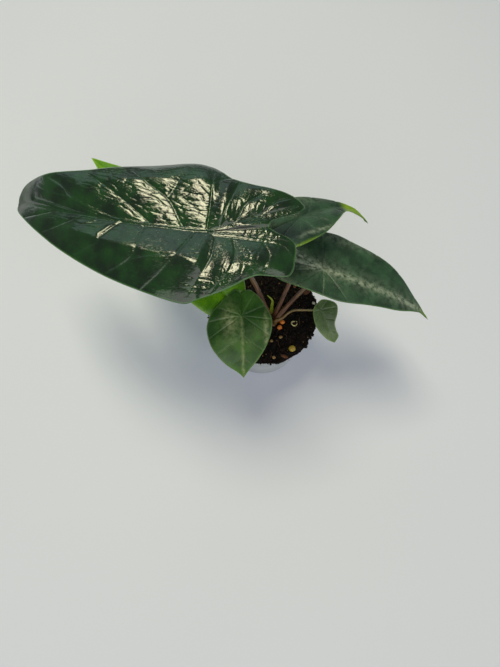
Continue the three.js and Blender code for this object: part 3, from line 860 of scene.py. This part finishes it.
def stalk(name, finish, slot):
    """A stalk: radius tapering along its path, widened in a sheath at the foot and a little under the
    blade, with shallow ribs, and pressed flat where it meets the blade's underside."""
    to, at, (r0, r1), via = STALKS[name]
    b = BLADES[to]
    path, run = evenly([neck_point(at, STALK_FOOT - 1), neck_point(at, NECK_TOP + 2.4), *via, b["joint"]],
                       np.linspace(0, 1, 150))
    share = np.linspace(0, 1, 150)[:, None]
    turn = np.linspace(0, 2 * np.pi, 28, endpoint=False)[None]
    sheath = 1 + 0.75 * (1 - ease(share * run, 0, 16))
    flare = 1 + 0.45 * ease(share * run, run - 4, run)
    rib = 1 + 0.035 * np.cos(7 * turn + 2 * share) + 0.05 * waves(share * run / 6 + 0 * turn, turn, at, 2)
    radius = blend(r0, r1, share) * sheath * flare * rib
    points, _ = tube(path, radius)
    joint, _, up = midrib(b, np.array([0.0]))
    over = np.clip((points - joint) @ up[0] + SKIN, 0, None)
    points = points - over[..., None] * up[0]
    full = np.concatenate([[0], share[:, 0], [1]])[:, None]
    around = np.cos(turn) * r0, np.sin(turn) * r0
    unrolled = np.stack([around[0] + 0 * full, around[1] + 0 * full, full * run * 0.08 + 0 * turn], -1)
    masks = {"unrolled": unrolled, "tip": ease(full, 0.35, 1) + 0 * turn}
    return place(skin(name, points, finish, masks), slot, name)


brown_stalk = stalk_finish("brown_stalk", srgb(72, 44, 32), srgb(136, 96, 66), srgb(96, 110, 52))
tan_stalk = stalk_finish("tan_stalk", srgb(104, 80, 46), srgb(158, 128, 78), srgb(116, 126, 66))
for title in STALKS:
    tiny = title == "stalk_tiny"
    stalk(title, tan_stalk if tiny else brown_stalk, "stalk_tan" if tiny else "stalk")


def shoot():
    """The new leaf, still rolled: a spike whose rolled edge shows as a step that winds once round it."""
    path, run = evenly([neck_point(100, STALK_FOOT - 1), (4.4, 0.6, 50), (4.6, 2.4, 54), (1.9, 3, 60)],
                       np.linspace(0, 1, 120))
    share = np.linspace(0, 1, 120)[:, None]
    turn = np.linspace(0, 2 * np.pi, 36, endpoint=False)[None]
    wound = np.mod(turn / (2 * np.pi) + 0.5 * share, 1)
    radius = blend(1.15, 0.14, share**0.8) * (0.86 + 0.22 * wound) * (1 + 0.35 * np.sin(np.pi * share) ** 2)
    points, _ = tube(path, radius)
    full = np.concatenate([[0], share[:, 0], [1]])[:, None]
    unrolled = np.stack([np.cos(turn) + 0 * full, np.sin(turn) + 0 * full, full * run * 0.1 + 0 * turn], -1)
    finish = stalk_finish("pale_shoot", srgb(150, 176, 32), srgb(206, 222, 86), srgb(170, 196, 60))
    masks = {"unrolled": unrolled, "tip": full + 0 * turn}
    return place(skin("new_shoot", points, finish, masks), "shoot", "new_shoot")


def neck():
    """The neck: a low corm, ringed with old leaf scars and ragged at the top."""
    radius = (neck_high - neck_low)[0] / 2
    base = neck_low[2]
    profile = rounded([(0, base), (radius, base), (radius, NECK_TOP - 0.9), (0.8 * radius, NECK_TOP - 0.2),
                       (0, NECK_TOP)], 8, 0.8)

    def scars(r, turn, z):
        wave = 0.035 * np.sin(9 * z / 2) + 0.05 * waves(3 * np.cos(turn) + z, 3 * np.sin(turn), 21, 3)
        return r * (1 - 0.03 + wave), z

    points = lathe(profile, 72, scars) + np.array([NECK[0], NECK[1], 0])
    turn = np.linspace(0, 2 * np.pi, 72, endpoint=False)[None]
    unrolled = np.stack([points[..., 2], 4 * turn / np.pi + 0 * points[..., 2], 0 * points[..., 2]], -1)
    finish = stalk_finish("papery_neck", srgb(60, 38, 26), srgb(124, 88, 54), srgb(104, 96, 52))
    masks = {"unrolled": unrolled, "tip": 0 * points[..., 2]}
    return place(skin("neck", points, finish, masks), "stalk", "neck")


shoot()
neck()


# ---------------------------------------------------------------------------------------------------
# Pot and soil
# ---------------------------------------------------------------------------------------------------

_, pot_high = corners("pot")
POT_HEIGHT = pot_high[2]
POT_RIM_R = pot_high[0]
POT_BASE_R = POT_RIM_R - 7
WALL = 1.3
DRAIN_HOLES = 4
DRAIN_R = 2
GAP = 0.3
SOIL_TOP = POT_HEIGHT + 1.2
SOIL_CROWN = 1.3


def inside(z):
    """The pot's inner radius at a height."""
    return blend(POT_BASE_R, POT_RIM_R - 1, z / POT_HEIGHT) - WALL


def soil_height(x, y):
    """Top of the soil: a low crown with broad lumps."""
    r = np.hypot(x, y) / POT_RIM_R
    lumps = np.sin(0.62 * x + 0.5) * np.cos(0.55 * y) + 0.6 * np.sin(0.9 * y - 0.4 * x)
    return SOIL_TOP + SOIL_CROWN * (1 - r * r) + 0.28 * lumps


def pot():
    """The pot: a thin tapered wall with a rolled rim and a raised floor, and holes drilled in the floor."""
    profile = rounded([
        (0, 0), (POT_BASE_R - 0.8, 0), (POT_BASE_R, 0.8), (POT_RIM_R - 1.6, POT_HEIGHT - 3.4),
        (POT_RIM_R - 0.3, POT_HEIGHT - 3), (POT_RIM_R, POT_HEIGHT - 0.7), (POT_RIM_R - 0.4, POT_HEIGHT),
        (inside(POT_HEIGHT) + 0.4, POT_HEIGHT), (inside(POT_HEIGHT - 1), POT_HEIGHT - 1),
        (inside(WALL), WALL), (0, WALL),
    ])
    shell = skin("pot", lathe(profile, 160), pot_finish())
    for k in range(DRAIN_HOLES):
        angle = math.radians(45 + k * 360 / DRAIN_HOLES)
        reach = 0.62 * POT_BASE_R
        bore = lathe([(0, -3), (DRAIN_R, -3), (DRAIN_R, 4), (0, 4)], 40)
        bore = bore + np.array([reach * math.cos(angle), reach * math.sin(angle), 0])
        drill = skin(f"drill_{k}", bore, shell.data.materials[0])
        cut = shell.modifiers.new(f"hole_{k}", "BOOLEAN")
        cut.operation = "DIFFERENCE"
        cut.solver = "EXACT"
        cut.object = drill
    bpy.context.view_layer.update()
    seen = bpy.context.evaluated_depsgraph_get()
    shell.data = bpy.data.meshes.new_from_object(shell.evaluated_get(seen))
    shell.modifiers.clear()
    for k in range(DRAIN_HOLES):
        bpy.data.objects.remove(bpy.data.objects[f"drill_{k}"])
    return place(shell, "pot", "pot")


def soil(finish):
    """Soil: fills the pot, heaps over the rim in a ragged lip, and is crumbled on top in several sizes."""
    brim = POT_HEIGHT + GAP
    lip = POT_RIM_R + 0.1
    share = np.linspace(0, 1, 110)
    low = [(0, WALL + GAP), (inside(WALL) - GAP, WALL + GAP), (inside(brim) - GAP, brim)]
    curl = [(POT_RIM_R - 0.9, brim), (lip - 0.1, brim + 0.05), (lip, brim + 0.4),
            (lip - 0.3, SOIL_TOP - 0.3)]
    top = [(r, SOIL_TOP) for r in (POT_RIM_R - 0.6) * (1 - share)]

    def crumbled(r, turn, z):
        out = r > POT_RIM_R - 1
        edge = 0.012 * np.sin(5 * turn + 1) + 0.011 * np.sin(13 * turn) + 0.012 * waves(9 * turn, z, 31, 2)
        edge = edge * np.minimum(1, np.sin(turn / 2) ** 2 * 40)
        r = r * (1 + np.where(out, edge, 0))
        x, y = r * np.cos(turn), r * np.sin(turn)
        rough = 0.7 * waves(x / 1.9, y / 1.9, 41, 4) + 0.4 * np.abs(waves(x / 0.9, y / 0.9, 43, 3))
        high = soil_height(x, y) + rough * ease(POT_RIM_R + 0.5 - r, 0, 1) - 0.15
        return r, np.where(z > brim + 0.5, np.maximum(high, brim + 0.3), z)

    points = lathe(low + curl + top, 300, crumbled)
    return place(skin("soil", points, finish), "soil", "soil")


def crumbs(name, finish, count, seed, largest):
    """Loose crumbs on the soil: jittered 20-sided lumps of mixed size, half sunk, thicker near the rim."""
    rng = np.random.default_rng(seed)
    gold = (1 + math.sqrt(5)) / 2
    base = np.array([(0, a, b * gold) for a in (1, -1) for b in (1, -1)], float)
    base = np.vstack([base, base[:, [2, 0, 1]], base[:, [1, 2, 0]]]) / math.hypot(1, gold)
    apart = np.linalg.norm(base[:, None] - base[None], axis=2)
    touch = (apart > 0.1) & (apart < 1.1)
    tri = [(i, j, k) for i in range(12) for j in range(i + 1, 12) for k in range(j + 1, 12)
           if touch[i, j] and touch[j, k] and touch[i, k]]
    tri = np.array([(i, j, k) if np.dot(base[i], np.cross(base[j], base[k])) > 0 else (i, k, j)
                    for i, j, k in tri])
    angle = rng.uniform(0, 2 * np.pi, count)
    r = (POT_RIM_R + 0.5) * np.sqrt(rng.uniform(0, 1, count)) ** 0.8
    size = 0.22 + (largest - 0.22) * rng.uniform(0, 1, count) ** 3
    x, y = r * np.cos(angle), r * np.sin(angle)
    shape = base[None] * rng.uniform(0.7, 1.3, (count, 12, 1)) * rng.uniform(0.7, 1.2, (count, 1, 3))
    centre = np.stack([x, y, soil_height(x, y) + 0.25 * size], 1)
    points = centre[:, None] + shape * size[:, None, None]
    faces = (tri[None] + 12 * np.arange(count)[:, None, None]).reshape(-1, 3)
    return place(skin(name, points, finish, faces=faces), "soil")


def fibres(finish, count=46, seed=19):
    """Short curved root fibres on the soil: a five-sided thread along each random arc."""
    rng = np.random.default_rng(seed)
    t = np.linspace(-1, 1, 9)[None, :, None]
    angle = rng.uniform(0, 2 * np.pi, count)
    r = (POT_RIM_R - 3) * np.sqrt(rng.uniform(0, 1, count))
    foot = np.stack([r * np.cos(angle), r * np.sin(angle)], 1)[:, None]
    head = rng.uniform(0, 2 * np.pi, count)
    run = np.stack([np.cos(head), np.sin(head)], 1)[:, None]
    bow = np.stack([-np.sin(head), np.cos(head)], 1)[:, None] * rng.uniform(-1, 1, (count, 1, 1))
    half = rng.uniform(1.2, 3.2, (count, 1, 1))
    plan = foot + half * (t * run + 0.5 * (1 - t * t) * bow)
    high = soil_height(plan[..., 0], plan[..., 1]) + 0.35 + 0.25 * (1 - t[..., 0] ** 2)
    path = np.dstack([plan, high])
    turn = np.linspace(0, 2 * np.pi, 5, endpoint=False)
    square = np.stack([-run[..., 1], run[..., 0], 0 * run[..., 0]], -1)[:, :, None]
    ring = np.cos(turn)[:, None] * square + np.sin(turn)[:, None] * np.array([0, 0, 1.0])
    thick = (0.13 * np.sqrt(1 - (t * 0.999) ** 2))[..., None]
    points = path[:, :, None] + ring * thick
    one = grid_faces(9, 5)
    cap = np.array([(0, k, k + 1) for k in (1, 2, 3)] + [(40, 41 + k, 40 + k) for k in (1, 2, 3)])
    one = np.vstack([one, cap])
    faces = (one[None] + 45 * np.arange(count)[:, None, None]).reshape(-1, 3)
    return place(skin("soil_fibres", points.reshape(count, 45, 3), finish, faces=faces), "soil")


damp = soil_finish()
pot()
soil(damp)
crumbs("soil_crumbs", damp, 3000, 7, 1.1)
crumbs("pale_specks", grain_finish("pale_speck", srgb(92, 66, 40), srgb(160, 126, 80), 1.2, 0.8, 0.1),
       170, 8, 0.5)
fibres(grain_finish("root_fibre", srgb(60, 40, 24), srgb(112, 80, 48), 2.0, 0.7, 0.05))


# ---------------------------------------------------------------------------------------------------
# Beads, grit and bark
# ---------------------------------------------------------------------------------------------------

orange = grain_finish("orange_bead", srgb(196, 88, 18), srgb(232, 140, 44), 1.6, 0.28, 0.05, 0.4)
yellow = grain_finish("yellow_bead", srgb(148, 124, 30), srgb(206, 182, 60), 1.4, 0.32, 0.06, 0.3)
husk = grain_finish("bead_husk", srgb(188, 176, 104), srgb(236, 228, 170), 1.0, 0.4, 0.05, 0.2)
grit = grain_finish("tan_grit", srgb(120, 90, 50), srgb(178, 146, 92), 0.9, 0.75, 0.12)
white = grain_finish("white_grit", srgb(196, 188, 172), srgb(236, 232, 222), 0.7, 0.8, 0.14)
bark = grain_finish("bark", srgb(62, 34, 20), srgb(118, 76, 44), 1.3, 0.78, 0.2)


def lump(node, finish, slot, rough, seed):
    """A ball that fills its CAD node's box, lumpy by a share of its radius."""
    low, high = corners(node)
    points = ball((low + high) / 2, (high - low) / 2, rough, seed)
    return place(skin(node, points, finish), slot, node)


def bead_coat():
    """A spent bead coat: a thin ring, left open on one side, thinner towards its two ends."""
    low, high = corners("bead_coat")
    centre, size = (low + high) / 2, (high - low) / 2
    share = np.linspace(0, 1, 70)[:, None]
    angle = 0.5 + share * 1.86 * np.pi
    thick = size[2]
    reach = (size[0] - thick) * (1 + 0.08 * np.sin(3 * angle))
    plan = [reach * np.cos(angle), reach * np.sin(angle) * size[1] / size[0]]
    path = np.hstack(plan + [0.15 * np.sin(2 * angle)])
    turn = np.linspace(0, 2 * np.pi, 14, endpoint=False)[None]
    radius = thick * (0.35 + 0.75 * np.sin(np.pi * share) ** 0.6)
    out = np.hstack([np.cos(angle), np.sin(angle), 0 * angle])
    ring = np.cos(turn)[..., None] * out[:, None] + np.sin(turn)[..., None] * np.array([0, 0, 1.0])
    body = path[:, None] + radius[..., None] * ring
    points = np.concatenate([np.broadcast_to(path[:1, None], body[:1].shape), body,
                             np.broadcast_to(path[-1:, None], body[:1].shape)]) + centre
    return place(skin("bead_coat", points, husk), "prill_yellow", "bead_coat")


def chip(node, turn, seed):
    """A flake of bark: a flat squarish ball, split into layers along its length."""
    low, high = corners(node)
    size = (high - low) / 2
    angle = math.radians(turn)
    long_ = max(size[0], size[1]) * 1.02
    points = ball((0, 0, 0), (long_, long_ * 0.46, size[2] * 0.8), 0.16, seed, 26, 44)
    points = np.sign(points) * np.abs(points) ** 0.8 * np.array([long_, long_ * 0.46, size[2] * 0.8]) ** 0.2
    x, y = points[..., 0], points[..., 1]
    points[..., 2] += 0.07 * np.sin(9 * y + x) + 0.05 * x * y
    c, s = math.cos(angle), math.sin(angle)
    x, y = points[..., 0] * c - points[..., 1] * s, points[..., 0] * s + points[..., 1] * c
    points = np.stack([x, y, points[..., 2]], -1) + (low + high) / 2
    return place(skin(node, points, bark), "bark", node)


lump("prill_orange_1", orange, "prill_orange", 0.06, 51)
lump("prill_orange_2", orange, "prill_orange", 0.06, 52)
lump("prill_yellow", yellow, "prill_yellow", 0.08, 53)
bead_coat()
for k in (1, 2, 3):
    lump(f"grain_{k}", grit, "grit", 0.22, 60 + k)
lump("grain_4", white, "perlite", 0.24, 66)
for k, turn in enumerate((35, -20, 70), 1):
    chip(f"bark_chip_{k}", turn, 70 + k)


# ---------------------------------------------------------------------------------------------------
# Stage, lights and camera
# ---------------------------------------------------------------------------------------------------

def stage():
    """A wide pale floor with a faint unevenness of colour, brightened far off to meet the backdrop."""
    half = 6000
    points = np.array([[(-half, -half, 0), (half, -half, 0), (half, half, 0), (-half, half, 0)]], float)
    f = Finish("pale_floor")
    cloud = f.noise(f.place(), 220, 2)
    away = f.node("ShaderNodeVectorMath", {"operation": "LENGTH"}, {0: f.place()}, output="Value")
    paint = f.done(
        Base_Color=f.mix(cloud, srgb(224, 230, 246), srgb(230, 236, 250)),
        Roughness=0.6 + cloud * 0.1,
        Specular_IOR_Level=0.3,
        Emission_Color=f.mix(f.between(away, 350, 2200), (0, 0, 0), (0.66, 0.67, 0.7)),
        Emission_Strength=1.0,
    )
    floor = skin("floor", points, paint, faces=np.array([(0, 1, 2), (0, 2, 3)]))


def softbox(name, aim, direction, distance, size, colour, brightness):
    """A rectangular light in mm that faces aim from a direction; its power comes from its brightness."""
    direction = np.array(direction) / np.linalg.norm(direction)
    light = bpy.data.lights.new(name, "AREA")
    light.shape = "RECTANGLE"
    light.size, light.size_y = size[0] * MM, size[1] * MM
    light.color = colour
    light.energy = brightness * math.pi * light.size * light.size_y
    lamp = bpy.data.objects.new(name, light)
    bpy.context.scene.collection.objects.link(lamp)
    spot = (np.array(aim) + direction * distance) * MM
    lamp.location = spot
    lamp.rotation_euler = look(-direction)


def toward(azimuth, elevation):
    """The direction at a compass angle from +X and a height angle over the floor, in degrees."""
    a, e = math.radians(azimuth), math.radians(elevation)
    return (math.cos(e) * math.cos(a), math.cos(e) * math.sin(a), math.sin(e))


def look(direction):
    """The turn that points an object's -Z along a direction, with its +Y as near up as it can be."""
    return Vector(direction).to_track_quat("-Z", "Y").to_euler()


SENSOR = 36             # the sensor's long side
FOCAL = 26.9865         # the lens, a usual one for a phone
EYE = (-7, -100.1, 293)
TILT = 19.5             # degrees from straight down


def camera():
    """A camera held above the plant, tilted a little from straight down, with a lens of 27 mm."""
    lens = bpy.data.cameras.new("camera")
    lens.sensor_width = SENSOR
    lens.lens = FOCAL
    eye = bpy.data.objects.new("camera", lens)
    bpy.context.scene.collection.objects.link(eye)
    eye.location = np.array(EYE) * MM
    eye.rotation_euler = (math.radians(TILT), 0, 0)
    lens.clip_start = 0.01
    bpy.context.scene.camera = eye


def room():
    """Dim light from all round, with a pale backdrop where the camera looks past the floor."""
    world = bpy.data.worlds.new("room")
    world.use_nodes = True
    tree = world.node_tree
    ray = tree.nodes.new("ShaderNodeLightPath")
    share = tree.nodes.new("ShaderNodeMapRange")
    share.inputs["To Min"].default_value = 0.16
    share.inputs["To Max"].default_value = 0.78
    ground = tree.nodes["Background"]
    ground.inputs["Color"].default_value = (0.9, 0.92, 0.95, 1)
    tree.links.new(ray.outputs["Is Camera Ray"], share.inputs["Value"])
    tree.links.new(share.outputs[0], ground.inputs["Strength"])
    bpy.context.scene.world = world


heart = middle("blade_large")
stage()
softbox("window", heart, toward(118, 72), 1100, (330, 620), (1.0, 0.93, 0.64), 11)
softbox("sky", heart, toward(106, 33), 1200, (1200, 480), (0.66, 0.95, 0.9), 0.5)
softbox("front", heart, toward(-80, 38), 1500, (2600, 1500), (1.0, 0.97, 0.93), 1)
room()
camera()
bpy.context.scene.view_settings.view_transform = "Standard"
